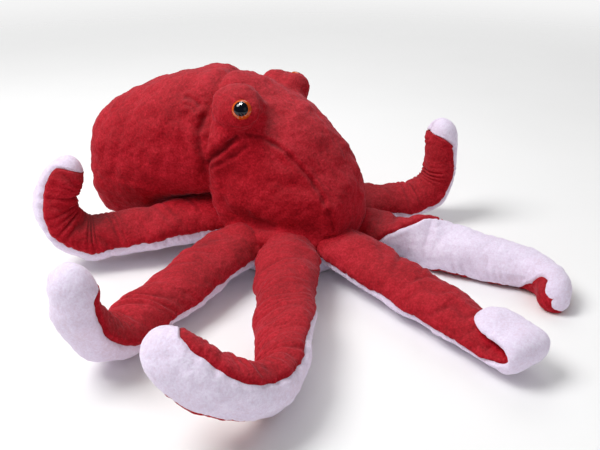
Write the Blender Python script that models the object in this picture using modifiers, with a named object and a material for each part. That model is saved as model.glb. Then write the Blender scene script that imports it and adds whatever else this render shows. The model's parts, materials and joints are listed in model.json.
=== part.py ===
"""A plush octopus soft toy, in the pose in which it lies on a table.

Metres, +Z up. The origin is the middle of the flat underside. The forehead points to -Y, the
mantle (the big sack behind the head) to +Y and the animal's own right side to -X. Eight arms
leave the underside at equal angles: r1 to r4 on the right from front to back, l1 to l4 on the
left. Each arm is a red top panel sewn to a white under panel around a filling, and it is cut
where it curls, so that its outer half can turn on its inner half.
"""

import math
from collections import namedtuple

import bmesh
import bpy
from mathutils import Matrix, Vector

PLUSH = 0.0010  # thickness of the sewn fabric
GAP = 0.0003  # clearance between neighbouring pieces
SEAM_GAP = 0.0016  # between two panels' edges, whose inner corners lean towards each other
MERGE = 1e-5  # points closer than this are one
SHARP_ANGLE = 50  # degrees above which an edge is shaded sharp

# Arms
RING = 0.044  # distance of each arm's root hinge from the middle
ROOT_HALF_WIDTH = 0.0155
ARM_HALF_WIDTH = 0.0188
TIP_HALF_WIDTH = 0.0140
ARM_HALF_HEIGHT = 0.0125
TIP_HALF_HEIGHT = 0.0115
SHOULDER = 0.014  # an arm reaches its full width this far from its hinge
TIP_ROUNDING = 0.013
TAPERED = 0.060  # the length before the tip over which an arm narrows
THINNEST = 0.0032  # the half height below which a seam's gap opens no further
THINNED = 0.120  # the length before the tip over which a thinly stuffed arm flattens
TIP_OPENING = 0.0010  # the panels stop this short of the tip
ROOT_TUCK = 0.80  # how much of the rounded root end the covers reach around
SEAM_DROP = 14.0  # degrees below the side at which the red panel meets the white one
FILLING_INSET = 0.0027
FILLING_TUCK = 0.70
FILLING_RINGS = 7  # the fewest faces along a filling
STEP = 0.002  # spacing of the centre line's frames
TOP_STRIPS, UNDER_STRIPS = 6, 4  # faces across a panel
INNER_STEPS, TWISTED_STEPS = 5, 15  # faces along an inner half
TWISTED = 20  # degrees of roll above which an inner half needs more faces
SPARE_ANGLE = 2  # degrees left over at each limit of a curl

# A bend is (length, curl, turn, roll): the degrees are spread evenly over the length. A curl
# lifts the tip towards the red side, a turn swings it to the arm's left and a roll tips the red
# side to the arm's right. "plump" scales an arm's height, "taper" its tip and "thin" the height
# of its thinly stuffed end. "steps" counts the faces along the outer half.
Arm = namedtuple("Arm", "heading tilt height plump taper thin hinge opens closes steps bends")
ARMS = {
    "r1": Arm(-112.5, -6, 0.020, 1.0, 0.92, 0.42, 0.116, 40, 4, 20,
              ((0.034, 3, -6, 0), (0.106, 0, 0, 0), (0.024, 180, 0, 0), (0.023, 0, 0, 0))),
    "r2": Arm(-157.5, -1, 0.020, 1.0, 0.95, 1.0, 0.106, 40, 15, 10,
              ((0.054, 0, 1, 10), (0.062, 0, 0, 48), (0.055, 80, 0, 0), (0.037, 60, 0, 0))),
    "r3": Arm(157.5, -4, 0.020, 1.0, 0.84, 1.0, 0.102, 40, 20, 9,
              ((0.024, 0, 18, 0), (0.086, 4, 0, 0), (0.030, 58, 0, 0), (0.041, 48, 0, 0))),
    "r4": Arm(112.5, -7, 0.0275, 1.18, 0.84, 1.0, 0.074, 35, 10, 9,
              ((0.024, 0, 18, 0), (0.060, 4, 0, 0), (0.046, 105, 0, 0), (0.028, 55, 0, 0))),
    "l1": Arm(-67.5, -4, 0.018, 0.85, 0.88, 1.0, 0.078, 25, 20, 12,
              ((0.020, 0, -25, -4), (0.044, 0, 0, -146), (0.050, 0, 0, -7),
               (0.030, 10, 80, -60), (0.014, 0, 10, -10))),
    "l2": Arm(-22.5, -2, 0.018, 1.0, 0.86, 1.0, 0.052, 35, 20, 8,
              ((0.019, 0, -20, 0), (0.025, 0, -15, 0), (0.016, 8, 0, 0), (0.036, 84, 0, 0),
               (0.036, 0, 0, 0))),
    "l3": Arm(22.5, -5, 0.020, 1.0, 0.84, 1.0, 0.090, 30, 25, 10,
              ((0.094, 6, 8, 0), (0.090, 45, 0, 0))),
    "l4": Arm(67.5, -5, 0.024, 1.0, 0.84, 1.0, 0.094, 30, 25, 9,
              ((0.040, 2, -14, 0), (0.060, 4, 0, 0), (0.040, 40, 0, 0), (0.044, 30, 0, 0))),
}

# Head and mantle are lofts along Y. A station is (y, half width, bottom, top, squareness).
HEAD = (
    (-0.0500, 0.003, 0.040, 0.046, 2.0), (-0.0485, 0.014, 0.026, 0.056, 2.0),
    (-0.044, 0.025, 0.008, 0.068, 2.0), (-0.036, 0.031, 0.004, 0.080, 2.0),
    (-0.024, 0.036, 0.003, 0.093, 2.1), (-0.010, 0.038, 0.003, 0.105, 2.1),
    (0.006, 0.039, 0.003, 0.112, 2.2), (0.022, 0.039, 0.003, 0.119, 2.2),
    (0.039, 0.038, 0.003, 0.1225, 2.2),
)
MANTLE = (
    (0.042, 0.038, 0.043, 0.1220, 2.2), (0.050, 0.040, 0.040, 0.1235, 2.3),
    (0.064, 0.042, 0.0385, 0.1220, 2.5), (0.080, 0.043, 0.033, 0.1175, 2.6),
    (0.095, 0.043, 0.021, 0.1120, 2.8), (0.111, 0.042, 0.013, 0.1060, 2.8),
    (0.122, 0.041, 0.010, 0.1005, 2.8), (0.131, 0.0385, 0.012, 0.0955, 2.7),
    (0.138, 0.034, 0.018, 0.0890, 2.5), (0.1425, 0.026, 0.027, 0.0810, 2.3),
    (0.145, 0.013, 0.040, 0.0690, 2.1), (0.1458, 0.003, 0.050, 0.0600, 2.0),
)
NECK = Vector((0, 0.0405, 0.092))  # the mantle nods up about an axis along X through here
NECK_OPENING = 8.5  # degrees: half of the wedge above the axis that the nod needs
RIM_HEIGHT = 0.0355  # the head cover is an arch that ends here, above the roots of the arms
RIM_START = -0.038  # in front of this the rim climbs over the lifted front arms
RIM_CLIMB = 0.55
ARCH_LIMIT = 0.95  # how far down its outline, as a share of its half height, the arch may reach
HEAD_FACES, MANTLE_FACES = (18, 11), (18, 10)  # around and along
HEAD_CROWDING, MANTLE_CROWDING = 1.3, 1.2  # above 1 the faces crowd towards the open end
MANTLE_FILLING_INSET = 0.004
HEAD_FILLING_CENTRE, HEAD_FILLING_RADII = (0, 0.002, 0.054), (0.031, 0.031, 0.050)

# Underside
BASE_RADIUS = 0.040
BASE_THICKNESS = 0.0015

# Eyes
HOOD_CENTRE = Vector((0.027, 0.018, 0.103))
HOOD_RADII = Vector((0.014, 0.0155, 0.0165))
EYE_AXIS = Vector((0.85, -0.28, 0.42)).normalized()
EYE_RADIUS = 0.006
EYE_DOME = 0.0038
EYE_RIM = 0.0008  # height of the dome's edge above its flat back
HOOD_CLEARANCE = 0.0005
STEM_RADIUS = 0.0014
STEM_LENGTH = 0.0085
WASHER_RADIUS = 0.0045
WASHER_THICKNESS = 0.0010
WASHER_DEPTH = 0.0026
HOLE_DEPTH, HOLE_RISE = 0.02, 0.01  # how far a hole's cutter reaches in and out
HOOD_HOLE_DEPTH = 0.004


# Helpers

def clear_scene():
    for thing in list(bpy.data.objects):
        bpy.data.objects.remove(thing, do_unlink=True)


def make_collection(name, hidden=False):
    made = bpy.data.collections.new(name)
    made.hide_render = hidden
    bpy.context.scene.collection.children.link(made)
    return made


def make_material(name, colour, roughness):
    material = bpy.data.materials.new(name)
    material.use_nodes = True
    shader = material.node_tree.nodes["Principled BSDF"]
    shader.inputs["Base Color"].default_value = (*colour, 1)
    shader.inputs["Roughness"].default_value = roughness
    shader.inputs["Metallic"].default_value = 0
    return material


def finish(mesh, name, material, collection, parent=None):
    """Turns a bmesh into an object in a collection, keeping its world place under its parent."""
    data = bpy.data.meshes.new(name)
    mesh.to_mesh(data)
    mesh.free()
    data.shade_smooth()
    data.set_sharp_from_angle(angle=math.radians(SHARP_ANGLE))
    data.materials.append(material)
    made = bpy.data.objects.new(name, data)
    collection.objects.link(made)
    if parent:
        made.parent = parent
        made.matrix_parent_inverse = Matrix.Translation(-parent.location)
    return made


def face_outward(mesh):
    """Points the faces of a closed mesh outward."""
    bmesh.ops.recalc_face_normals(mesh, faces=mesh.faces)
    if mesh.calc_volume(signed=True) < 0:
        bmesh.ops.reverse_faces(mesh, faces=mesh.faces)


def thicken(piece, thickness=PLUSH):
    """Gives an open sheet the thickness of the fabric, on its inner side."""
    shell = piece.modifiers.new("fabric", "SOLIDIFY")
    shell.thickness = thickness
    shell.offset = -1
    shell.use_even_offset = True
    shell.use_rim = True


def cut(piece, cutter):
    boolean = piece.modifiers.new("cut", "BOOLEAN")
    boolean.operation = "DIFFERENCE"
    boolean.object = cutter
    cutter.hide_render = True
    cutter.display_type = "WIRE"


def make_pivot(name, place, collection):
    pivot = bpy.data.objects.new(name, None)
    pivot.empty_display_size = 0.01
    pivot.location = place
    collection.objects.link(pivot)
    return pivot


def ease(value):
    value = min(max(value, 0), 1)
    return value * value * (3 - 2 * value)


def spaced(stations, position):
    """The values of a list of stations at a position between them."""
    for before, after in zip(stations, stations[1:]):
        if position <= after[0]:
            share = (position - before[0]) / (after[0] - before[0])
            return [a + (b - a) * share for a, b in zip(before, after)]
    return list(stations[-1])


# Arms

def trace(arm):
    """Frames along an arm's centre line: (distance, point, along, up), from its root hinge."""
    angle = math.radians(arm.heading)
    along = Vector((math.cos(angle), math.sin(angle), 0))
    up = Vector((0, 0, 1))
    lean = Matrix.Rotation(math.radians(arm.tilt), 3, along.cross(up))
    point = along * RING + Vector((0, 0, arm.height))
    along, up = lean @ along, lean @ up
    frames = [(0.0, point.copy(), along.copy(), up.copy())]
    gone = 0.0
    for length, curl, turn, roll in arm.bends:
        count = max(1, round(length / STEP))
        for _ in range(count):
            for degrees, axis in ((curl, along.cross(up)), (turn, up), (roll, along)):
                spin = Matrix.Rotation(math.radians(degrees / count), 3, axis)
                along, up = spin @ along, spin @ up
            point = point + along * (length / count)
            gone += length / count
            frames.append((gone, point.copy(), along.copy(), up.copy()))
    return frames


def frame_at(frames, distance):
    """Centre, along and up at a distance; before the root the arm runs straight on."""
    if distance <= 0:
        _, point, along, up = frames[0]
        return point + along * distance, along, up
    for before, after in zip(frames, frames[1:]):
        if distance <= after[0]:
            share = (distance - before[0]) / (after[0] - before[0])
            return tuple(before[i].lerp(after[i], share) for i in (1, 2, 3))
    return frames[-1][1:]


def section(arm, distance, length):
    """Half width and half height of an arm, rounded off at both ends."""
    share = max(distance, 0) / length
    narrowing = 1 - (1 - arm.taper) * ease((distance - length + TAPERED) / TAPERED)
    thickening = 1 + (arm.plump - 1) * ease(1 + distance / ARM_HALF_HEIGHT)
    thinning = 1 - (1 - arm.thin) * ease((distance - length + THINNED) / THINNED)
    wide = ROOT_HALF_WIDTH + (ARM_HALF_WIDTH - ROOT_HALF_WIDTH) * ease(distance / SHOULDER)
    wide += (TIP_HALF_WIDTH - ARM_HALF_WIDTH) * share
    high = ARM_HALF_HEIGHT + (TIP_HALF_HEIGHT - ARM_HALF_HEIGHT) * share
    beyond = 0.0
    if distance < 0:
        beyond = -distance / ARM_HALF_HEIGHT
    elif distance > length - TIP_ROUNDING:
        beyond = (distance - length + TIP_ROUNDING) / TIP_ROUNDING
    end = math.sqrt(max(0.0, 1 - beyond * beyond)) * narrowing
    return wide * end, high * end * thickening * thinning


def on_arm(arm, frames, distance, angle, inset=0.0):
    """A point of the arm's skin, or of a smaller skin inside it."""
    wide, high = section(arm, distance, frames[-1][0])
    centre, along, up = frame_at(frames, distance)
    side = along.cross(up)
    wide, high = max(wide - inset, 0), max(high - inset, 0)
    return centre + side * (wide * math.cos(angle)) + up * (high * math.sin(angle))


def hinge_relief(arm, angle):
    """How far an end stands back from the curl hinge, so that the arm can bend both ways."""
    height = ARM_HALF_HEIGHT * arm.plump * math.sin(angle)
    degrees = arm.closes if height > 0 else arm.opens
    return 3 * GAP + abs(height) * math.tan(math.radians(degrees / 2 + SPARE_ANGLE))


def make_cover(name, arm, frames, stretch, panel, steps, material, collection, parent):
    """A sewn panel of an arm: a strip of its skin between two seams, as thick as the fabric.

    The stretch is "inner" or "outer", and the panel is the pair of angles of its seams.
    """
    length = frames[-1][0]
    low, high = (math.radians(degrees) for degrees in panel)
    middle, half = (high + low) / 2, (high - low) / 2
    mesh = bmesh.new()
    bmesh.ops.create_grid(mesh, x_segments=steps[0], y_segments=steps[1], size=1)
    for vertex in mesh.verts:
        across = vertex.co.x
        share = (vertex.co.y + 1) / 2
        relief = hinge_relief(arm, middle - half * across)
        if stretch == "inner":
            start, end = -ARM_HALF_HEIGHT * ROOT_TUCK, arm.hinge - relief
        else:
            start, end = arm.hinge + relief, length - TIP_OPENING
            share = math.sin(share * math.pi / 2)
        distance = start + (end - start) * share
        height = max(section(arm, distance, length)[1], THINNEST)
        angle = middle - (half - SEAM_GAP / 2 / height) * across
        vertex.co = on_arm(arm, frames, distance, angle)
    bmesh.ops.remove_doubles(mesh, verts=mesh.verts, dist=MERGE)
    made = finish(mesh, name, material, collection, parent)
    thicken(made)
    return made


def make_arm_filling(name, arm, frames, stretch, rings, material, collection, parent):
    """The stuffing of half an arm: a ball drawn out along the centre line."""
    length = frames[-1][0]
    mesh = bmesh.new()
    bmesh.ops.create_uvsphere(mesh, u_segments=8, v_segments=rings, radius=1)
    for vertex in mesh.verts:
        x, y, z = vertex.co
        fullness = math.sqrt(math.hypot(x, y))
        angle = math.atan2(y, -x)
        share = (z + 1) / 2
        relief = FILLING_INSET + hinge_relief(arm, angle) * fullness
        if stretch == "inner":
            start, end = -ARM_HALF_HEIGHT * FILLING_TUCK, arm.hinge - relief
        else:
            start, end = arm.hinge + relief, length - FILLING_INSET
        distance = start + (end - start) * share
        centre, _, _ = frame_at(frames, distance)
        skin = on_arm(arm, frames, distance, angle, FILLING_INSET)
        vertex.co = centre.lerp(skin, fullness)
    bmesh.ops.remove_doubles(mesh, verts=mesh.verts, dist=MERGE)
    face_outward(mesh)
    return finish(mesh, name, material, collection, parent)


def make_arm(key, arm, materials, collection):
    frames = trace(arm)
    top, under = (-SEAM_DROP, 180 + SEAM_DROP), (180 + SEAM_DROP, 360 - SEAM_DROP)
    root = make_pivot(f"arm_{key}_root_hinge", frame_at(frames, 0)[0], collection)
    curl = make_pivot(f"arm_{key}_curl_hinge", frame_at(frames, arm.hinge)[0], collection)
    inner_roll = sum(abs(roll) for _, _, _, roll in arm.bends[:2])
    inner_steps = TWISTED_STEPS if inner_roll > TWISTED else INNER_STEPS
    for stretch, parent, steps in (("inner", root, inner_steps), ("outer", curl, arm.steps)):
        name = f"arm_{key}_{stretch}"
        make_cover(f"{name}_top_cover", arm, frames, stretch, top, (TOP_STRIPS, steps),
                   materials["red"], collection, parent)
        make_cover(f"{name}_under_cover", arm, frames, stretch, under, (UNDER_STRIPS, steps),
                   materials["white"], collection, parent)
        make_arm_filling(f"{name}_filling", arm, frames, stretch, max(FILLING_RINGS, steps),
                         materials["filling"], collection, parent)


# Head and mantle

def on_loft(stations, y, angle, inset=0.0):
    """A point on the rounded-square outline of a loft at y."""
    _, wide, bottom, top, squareness = spaced(stations, y)
    across, upward = math.cos(angle), math.sin(angle)
    power = 2 / squareness
    wide = max(wide - inset, 0)
    tall = max((top - bottom) / 2 - inset, 0)
    x = math.copysign(abs(across) ** power, across) * wide
    z = (top + bottom) / 2 + math.copysign(abs(upward) ** power, upward) * tall
    return Vector((x, y, z))


def neck_relief(z):
    """How far an edge at height z stands back from the neck, so that the mantle can nod."""
    return 4 * GAP + max(z - NECK.z, 0) * math.tan(math.radians(NECK_OPENING))


def arch_reach(y):
    """How far each way from the top the head cover reaches at y, down to its rim."""
    _, _, bottom, top, squareness = spaced(HEAD, y)
    rim = RIM_HEIGHT + RIM_CLIMB * max(0, RIM_START - y)
    fall = ((bottom + top) / 2 - rim) / ((top - bottom) / 2)
    below = math.asin(math.copysign(min(abs(fall), ARCH_LIMIT) ** (squareness / 2), fall))
    return math.pi / 2 + below


def head_sheet(inset=0.0):
    """The head's skin as an open arch: open below, where the arms are sewn in, and at the neck."""
    mesh = bmesh.new()
    bmesh.ops.create_grid(mesh, x_segments=HEAD_FACES[0], y_segments=HEAD_FACES[1], size=1)
    front, back = HEAD[0][0], HEAD[-1][0]
    for vertex in mesh.verts:
        share = math.sin((vertex.co.y + 1) / 2 * math.pi / 2) ** HEAD_CROWDING
        edge = on_loft(HEAD, back, math.pi / 2 + arch_reach(back) * vertex.co.x)
        y = NECK.y - neck_relief(edge.z)
        y += (front - y) * share
        vertex.co = on_loft(HEAD, y, math.pi / 2 + arch_reach(y) * vertex.co.x, inset)
    return mesh


def make_head_cover(material, collection):
    made = finish(head_sheet(), "head_cover", material, collection)
    thicken(made)
    return made


def make_head_form(material, collection):
    """The head as a closed solid, a little larger all round, which trims the eye hoods."""
    sheet = head_sheet(inset=-HOOD_CLEARANCE)
    mesh = bmesh.new()
    points = [mesh.verts.new(vertex.co) for vertex in sheet.verts]
    sheet.free()
    hull = bmesh.ops.convex_hull(mesh, input=points)
    unused = {item for item in hull["geom_interior"] if isinstance(item, bmesh.types.BMVert)}
    bmesh.ops.delete(mesh, geom=list(unused), context="VERTS")
    face_outward(mesh)
    return finish(mesh, "head_form", material, collection)


def make_mantle_cover(material, collection, parent):
    """The sack behind the head, closed at its rounded end and open at the neck."""
    mesh = bmesh.new()
    bmesh.ops.create_grid(mesh, x_segments=MANTLE_FACES[0], y_segments=MANTLE_FACES[1],
                          size=1)
    front, back = MANTLE[0][0], MANTLE[-1][0]
    for vertex in mesh.verts:
        angle = -math.pi * vertex.co.x
        share = math.sin((vertex.co.y + 1) / 2 * math.pi / 2) ** MANTLE_CROWDING
        place = on_loft(MANTLE, front, angle)
        start = NECK.y + neck_relief(place.z)
        vertex.co = on_loft(MANTLE, start + (back - start) * share, angle)
    bmesh.ops.remove_doubles(mesh, verts=mesh.verts, dist=MERGE)
    made = finish(mesh, "mantle_cover", material, collection, parent)
    thicken(made)
    return made


def make_mantle_filling(material, collection, parent):
    mesh = bmesh.new()
    bmesh.ops.create_uvsphere(mesh, u_segments=16, v_segments=10, radius=1)
    start = NECK.y + neck_relief(MANTLE[0][3]) + MANTLE_FILLING_INSET
    end = MANTLE[-1][0] - MANTLE_FILLING_INSET - PLUSH
    for vertex in mesh.verts:
        x, y, z = vertex.co
        fullness = math.sqrt(math.hypot(x, y))
        depth = start + (end - start) * (z + 1) / 2
        skin = on_loft(MANTLE, depth, math.atan2(y, x), inset=MANTLE_FILLING_INSET)
        _, _, bottom, top, _ = spaced(MANTLE, depth)
        vertex.co = Vector((0, depth, (top + bottom) / 2)).lerp(skin, fullness)
    face_outward(mesh)
    return finish(mesh, "mantle_filling", material, collection, parent)


def make_ball(name, centre, radii, material, collection, segments=(16, 10)):
    mesh = bmesh.new()
    bmesh.ops.create_uvsphere(mesh, u_segments=segments[0], v_segments=segments[1], radius=1)
    for vertex in mesh.verts:
        vertex.co = Vector(centre) + Vector(radii) * vertex.co
    return finish(mesh, name, material, collection)


def make_base_panel(material, collection):
    """The flat white panel in the middle of the underside, on which the toy rests."""
    mesh = bmesh.new()
    place = Matrix.Translation((0, 0, BASE_THICKNESS / 2))
    bmesh.ops.create_cone(mesh, cap_ends=True, segments=32, radius1=BASE_RADIUS,
                          radius2=BASE_RADIUS, depth=BASE_THICKNESS, matrix=place)
    return finish(mesh, "base_panel", material, collection)


# Eyes

def eye_frame(side):
    """The eye's axis and the point where it leaves the hood, for side -1 (right) or 1 (left)."""
    flip = Vector((side, 1, 1))
    axis = EYE_AXIS * flip
    stretched = Vector([a / r for a, r in zip(EYE_AXIS, HOOD_RADII)])
    return axis, (HOOD_CENTRE + EYE_AXIS / stretched.length) * flip


def stand(axis, point):
    """A matrix that stands a shape made along +Z on a point, along an axis."""
    return Matrix.Translation(point) @ axis.to_track_quat("Z", "Y").to_matrix().to_4x4()


def make_rod(name, radius, bottom, top, axis, point, material, collection, segments=12):
    mesh = bmesh.new()
    middle = Matrix.Translation((0, 0, (bottom + top) / 2))
    bmesh.ops.create_cone(mesh, cap_ends=True, segments=segments, radius1=radius,
                          radius2=radius, depth=top - bottom, matrix=stand(axis, point) @ middle)
    return finish(mesh, name, material, collection)


def make_eye(name, side, material, collection):
    """A safety eye: a low dome with a stem behind it, turned as one profile."""
    axis, point = eye_frame(side)
    lift = 2 * GAP
    dome = [(EYE_RADIUS * math.cos(turn), lift + EYE_RIM + EYE_DOME * math.sin(turn))
            for turn in (math.radians(90 - 18 * i) for i in range(6))]
    profile = dome + [(EYE_RADIUS, lift), (STEM_RADIUS, lift), (STEM_RADIUS, -STEM_LENGTH)]
    profile[0] = (0, profile[0][1])
    profile.append((0, -STEM_LENGTH))
    mesh = bmesh.new()
    points = [mesh.verts.new((x, 0, z)) for x, z in profile]
    for first, second in zip(points, points[1:]):
        mesh.edges.new((first, second))
    made = finish(mesh, name, material, collection)
    made.matrix_world = stand(axis, point)
    turned = made.modifiers.new("turned", "SCREW")
    turned.steps = turned.render_steps = 16
    turned.use_merge_vertices = True
    turned.merge_threshold = MERGE
    return made


def make_washer(name, side, material, collection, cutters):
    """The locking ring pushed onto the stem inside the hood."""
    axis, point = eye_frame(side)
    made = make_rod(name, WASHER_RADIUS, -WASHER_DEPTH - WASHER_THICKNESS, -WASHER_DEPTH,
                    axis, point, material, collection)
    hole = make_rod(f"{name}_hole", STEM_RADIUS + GAP, -HOLE_DEPTH, HOLE_RISE, axis, point,
                    material, cutters)
    cut(made, hole)
    return made


def make_hood(name, side, head, material, collection, cutters):
    """The stuffed bump that carries an eye: a thin ellipsoid cut off where it meets the head."""
    axis, point = eye_frame(side)
    centre = HOOD_CENTRE * Vector((side, 1, 1))
    made = make_ball(name, centre, HOOD_RADII, material, collection, (14, 10))
    inside = make_ball(f"{name}_inside", centre, HOOD_RADII - Vector((PLUSH,) * 3), material,
                       cutters, (14, 10))
    hole = make_rod(f"{name}_hole", STEM_RADIUS + GAP, -HOOD_HOLE_DEPTH, HOLE_RISE, axis, point,
                    material, cutters)
    for cutter in (inside, hole, head):
        cut(made, cutter)
    return made


def build():
    clear_scene()
    parts = make_collection("octopus_plush")
    cutters = make_collection("cutters", hidden=True)
    materials = {
        "red": make_material("red_plush", (0.42, 0.016, 0.035), 0.9),
        "white": make_material("white_plush", (0.86, 0.80, 0.86), 0.9),
        "filling": make_material("polyester_filling", (0.85, 0.85, 0.83), 1.0),
        "eye": make_material("amber_plastic", (0.70, 0.16, 0.01), 0.08),
        "washer": make_material("nylon", (0.80, 0.80, 0.78), 0.4),
    }
    make_head_cover(materials["red"], parts)
    make_ball("head_filling", HEAD_FILLING_CENTRE, HEAD_FILLING_RADII,
              materials["filling"], parts)
    make_base_panel(materials["white"], parts)
    neck = make_pivot("neck_hinge", NECK, parts)
    make_mantle_cover(materials["red"], parts, neck)
    make_mantle_filling(materials["filling"], parts, neck)
    head_form = make_head_form(materials["red"], cutters)
    for word, side in (("right", -1), ("left", 1)):
        make_hood(f"{word}_eye_hood", side, head_form, materials["red"], parts, cutters)
        make_eye(f"{word}_eye", side, materials["eye"], parts)
        make_washer(f"{word}_eye_washer", side, materials["washer"], parts, cutters)
    for key, arm in ARMS.items():
        make_arm(key, arm, materials, parts)


build()
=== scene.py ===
import json
import math
from collections import namedtuple

import bmesh
import bpy
import numpy as np
from mathutils import Matrix, Vector


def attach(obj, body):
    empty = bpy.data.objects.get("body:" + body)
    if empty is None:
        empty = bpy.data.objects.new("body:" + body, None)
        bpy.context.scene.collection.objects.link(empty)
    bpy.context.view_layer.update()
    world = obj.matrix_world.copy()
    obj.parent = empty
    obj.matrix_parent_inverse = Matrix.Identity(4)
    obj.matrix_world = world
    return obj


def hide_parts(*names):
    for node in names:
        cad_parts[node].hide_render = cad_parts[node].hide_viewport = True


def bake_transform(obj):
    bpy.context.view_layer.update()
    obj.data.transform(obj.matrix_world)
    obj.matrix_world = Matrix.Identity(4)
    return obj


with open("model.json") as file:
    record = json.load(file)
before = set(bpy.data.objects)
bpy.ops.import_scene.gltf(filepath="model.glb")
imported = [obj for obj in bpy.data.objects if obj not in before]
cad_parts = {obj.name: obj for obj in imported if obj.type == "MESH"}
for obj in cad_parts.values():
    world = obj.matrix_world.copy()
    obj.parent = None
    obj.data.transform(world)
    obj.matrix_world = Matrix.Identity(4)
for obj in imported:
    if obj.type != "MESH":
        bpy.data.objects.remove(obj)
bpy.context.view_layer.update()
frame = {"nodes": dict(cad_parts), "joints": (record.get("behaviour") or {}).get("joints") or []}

MM = 0.001

# The arms' centre lines, nearly as in the CAD: a bend is (length, curl, turn, roll) in metres and
# degrees. "plump" scales an arm's height, "taper" its tip and "thin" the height of its tip. "split"
# is where the inner and the outer piece meet, and "zone" (mm) is a stretch before and after the curl
# hinge. The red panel ends "cap" before the tip, and "seams" gives how many
# degrees below the side the right and the left seam lie at some distances. A gather is (start, end,
# spacing, depth, middle, spread, slant): folds across the arm between two distances, strongest at an
# angle around it (90 is the red crown, 270 the white underside).
Arm = namedtuple("Arm", "heading tilt height plump taper thin split zone cap bends seams gathers")
ARMS = {
    "r1": Arm(-112.5, -6, 0.020, 1.0, 0.92, 0.42, 0.060, (-12, -1), 0.0,
              ((0.034, 3, -6, 0), (0.108, 0, 0, 0), (0.019, 180, 0, 0), (0.026, 0, 0, 0)),
              ((0, 14, 14), (0.10, 14, 16), (0.130, 12, 10), (0.144, -10, -36), (0.160, -40, -62),
               (0.187, -40, -50)),
              ((0.012, 0.075, 0.0165, 1.9, 120, 60, 1.4), (0.066, 0.140, 0.018, 1.7, 60, 60, -1.1),
               (0.124, 0.150, 0.0062, 1.5, 90, 85, 0.2), (0.020, 0.120, 0.0080, 0.5, 180, 35, 0.5))),
    "r2": Arm(-157.5, -1, 0.020, 1.0, 0.95, 1.0, 0.052, (-10, 4), 0.004,
              ((0.054, 0, 1, 10), (0.062, 0, 0, 48), (0.055, 80, 0, 0), (0.037, 60, 0, 0)),
              ((0, 14, 14), (0.11, 14, 14), (0.135, 30, 26), (0.155, 44, 38), (0.172, 46, 40),
               (0.182, 30, 24), (0.208, 20, 10)),
              ((0.006, 0.050, 0.0120, 1.2, 60, 60, 0.8), (0.045, 0.125, 0.0072, 1.1, 70, 75, 0.4),
               (0.112, 0.196, 0.0070, 2.0, 90, 70, 0.3), (0.110, 0.190, 0.0130, 1.2, 180, 30, 0.2))),
    "r3": Arm(157.5, -4, 0.020, 1.0, 0.84, 1.0, 0.050, (-10, 4), 0.010,
              ((0.024, 0, 18, 0), (0.086, 4, 0, 0), (0.030, 58, 0, 0), (0.041, 48, 0, 0)),
              ((0, 14, 14), (0.11, 14, 14), (0.148, -4, 4), (0.181, -16, -10)),
              ((0.010, 0.070, 0.0170, 1.4, 60, 60, 1.4), (0.074, 0.122, 0.0125, 3.0, 80, 70, 1.2),
               (0.116, 0.172, 0.0068, 1.6, 90, 60, 0.2))),
    "r4": Arm(112.5, -7, 0.0275, 1.18, 0.84, 1.0, 0.037, (-12, -1), 0.001,
              ((0.024, 0, 18, 0), (0.060, 4, 0, 0), (0.046, 105, 0, 0), (0.028, 55, 0, 0)),
              ((0, 14, 14), (0.07, 14, 16), (0.10, 14, 31), (0.13, 10, 46), (0.158, 10, 50)),
              ((0.012, 0.062, 0.0120, 1.3, 110, 60, 1.0), (0.066, 0.132, 0.0066, 1.9, 140, 80, 0.5),
               (0.120, 0.164, 0.0060, 1.6, 120, 85, 0.3), (0.016, 0.110, 0.0064, 0.7, 200, 22, 0.3))),
    "l1": Arm(-67.5, -4, 0.018, 1.0, 0.88, 1.0, 0.048, (-10, 4), 0.0,
              ((0.020, 0, -25, -4), (0.044, 0, 0, -146), (0.050, 0, 0, -7),
               (0.030, 10, 80, -60), (0.014, 0, 10, -10)),
              ((0, 14, 14), (0.05, 14, 8), (0.07, 4, -22), (0.11, 4, -36), (0.134, 8, -30),
               (0.146, 14, 10), (0.158, 14, 44)),
              ((0.006, 0.060, 0.0090, 1.6, 90, 70, 0.6), (0.060, 0.130, 0.0120, 1.0, 0, 40, 0.2),
               (0.060, 0.130, 0.0130, 0.9, 190, 40, 0.2), (0.040, 0.064, 0.0120, 1.3, 290, 60, 0))),
    "l2": Arm(-22.5, -2, 0.018, 1.0, 0.86, 1.0, 0.026, (-10, 4), 0.009,
              ((0.019, 0, -20, 0), (0.025, 0, -15, 0), (0.016, 8, 0, 0), (0.036, 84, 0, 0),
               (0.036, 0, 0, 0)),
              ((0, 14, 14), (0.04, 18, 16), (0.07, 36, 16), (0.11, 44, 14), (0.132, 38, 14)),
              ((0.006, 0.052, 0.0120, 1.2, 90, 70, 0.8), (0.048, 0.104, 0.0052, 2.0, 90, 80, 0.2),
               (0.100, 0.126, 0.0085, 1.3, 90, 70, 0.3))),
    "l3": Arm(22.5, -5, 0.020, 1.0, 0.84, 1.0, 0.044, (-10, 4), 0.006,
              ((0.094, 6, 8, 0), (0.090, 45, 0, 0)),
              ((0, 14, 14), (0.12, 14, 14), (0.184, 2, 4)),
              ((0.010, 0.090, 0.0140, 1.5, 90, 70, 1.0), (0.092, 0.172, 0.0072, 1.3, 90, 75, 0.2))),
    "l4": Arm(67.5, -5, 0.024, 1.0, 0.84, 1.0, 0.046, (-10, 4), 0.006,
              ((0.040, 2, -14, 0), (0.060, 4, 0, 0), (0.040, 40, 0, 0), (0.044, 30, 0, 0)),
              ((0, 14, 14), (0.12, 14, 14), (0.184, 2, 0)),
              ((0.010, 0.080, 0.0140, 1.5, 80, 70, 1.0), (0.086, 0.160, 0.0066, 1.4, 90, 75, 0.2))),
}
RING = 0.044
ROOT_HALF_WIDTH, ARM_HALF_WIDTH, TIP_HALF_WIDTH = 0.0155, 0.0188, 0.0140
ARM_HALF_HEIGHT, TIP_HALF_HEIGHT = 0.0125, 0.0115
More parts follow.
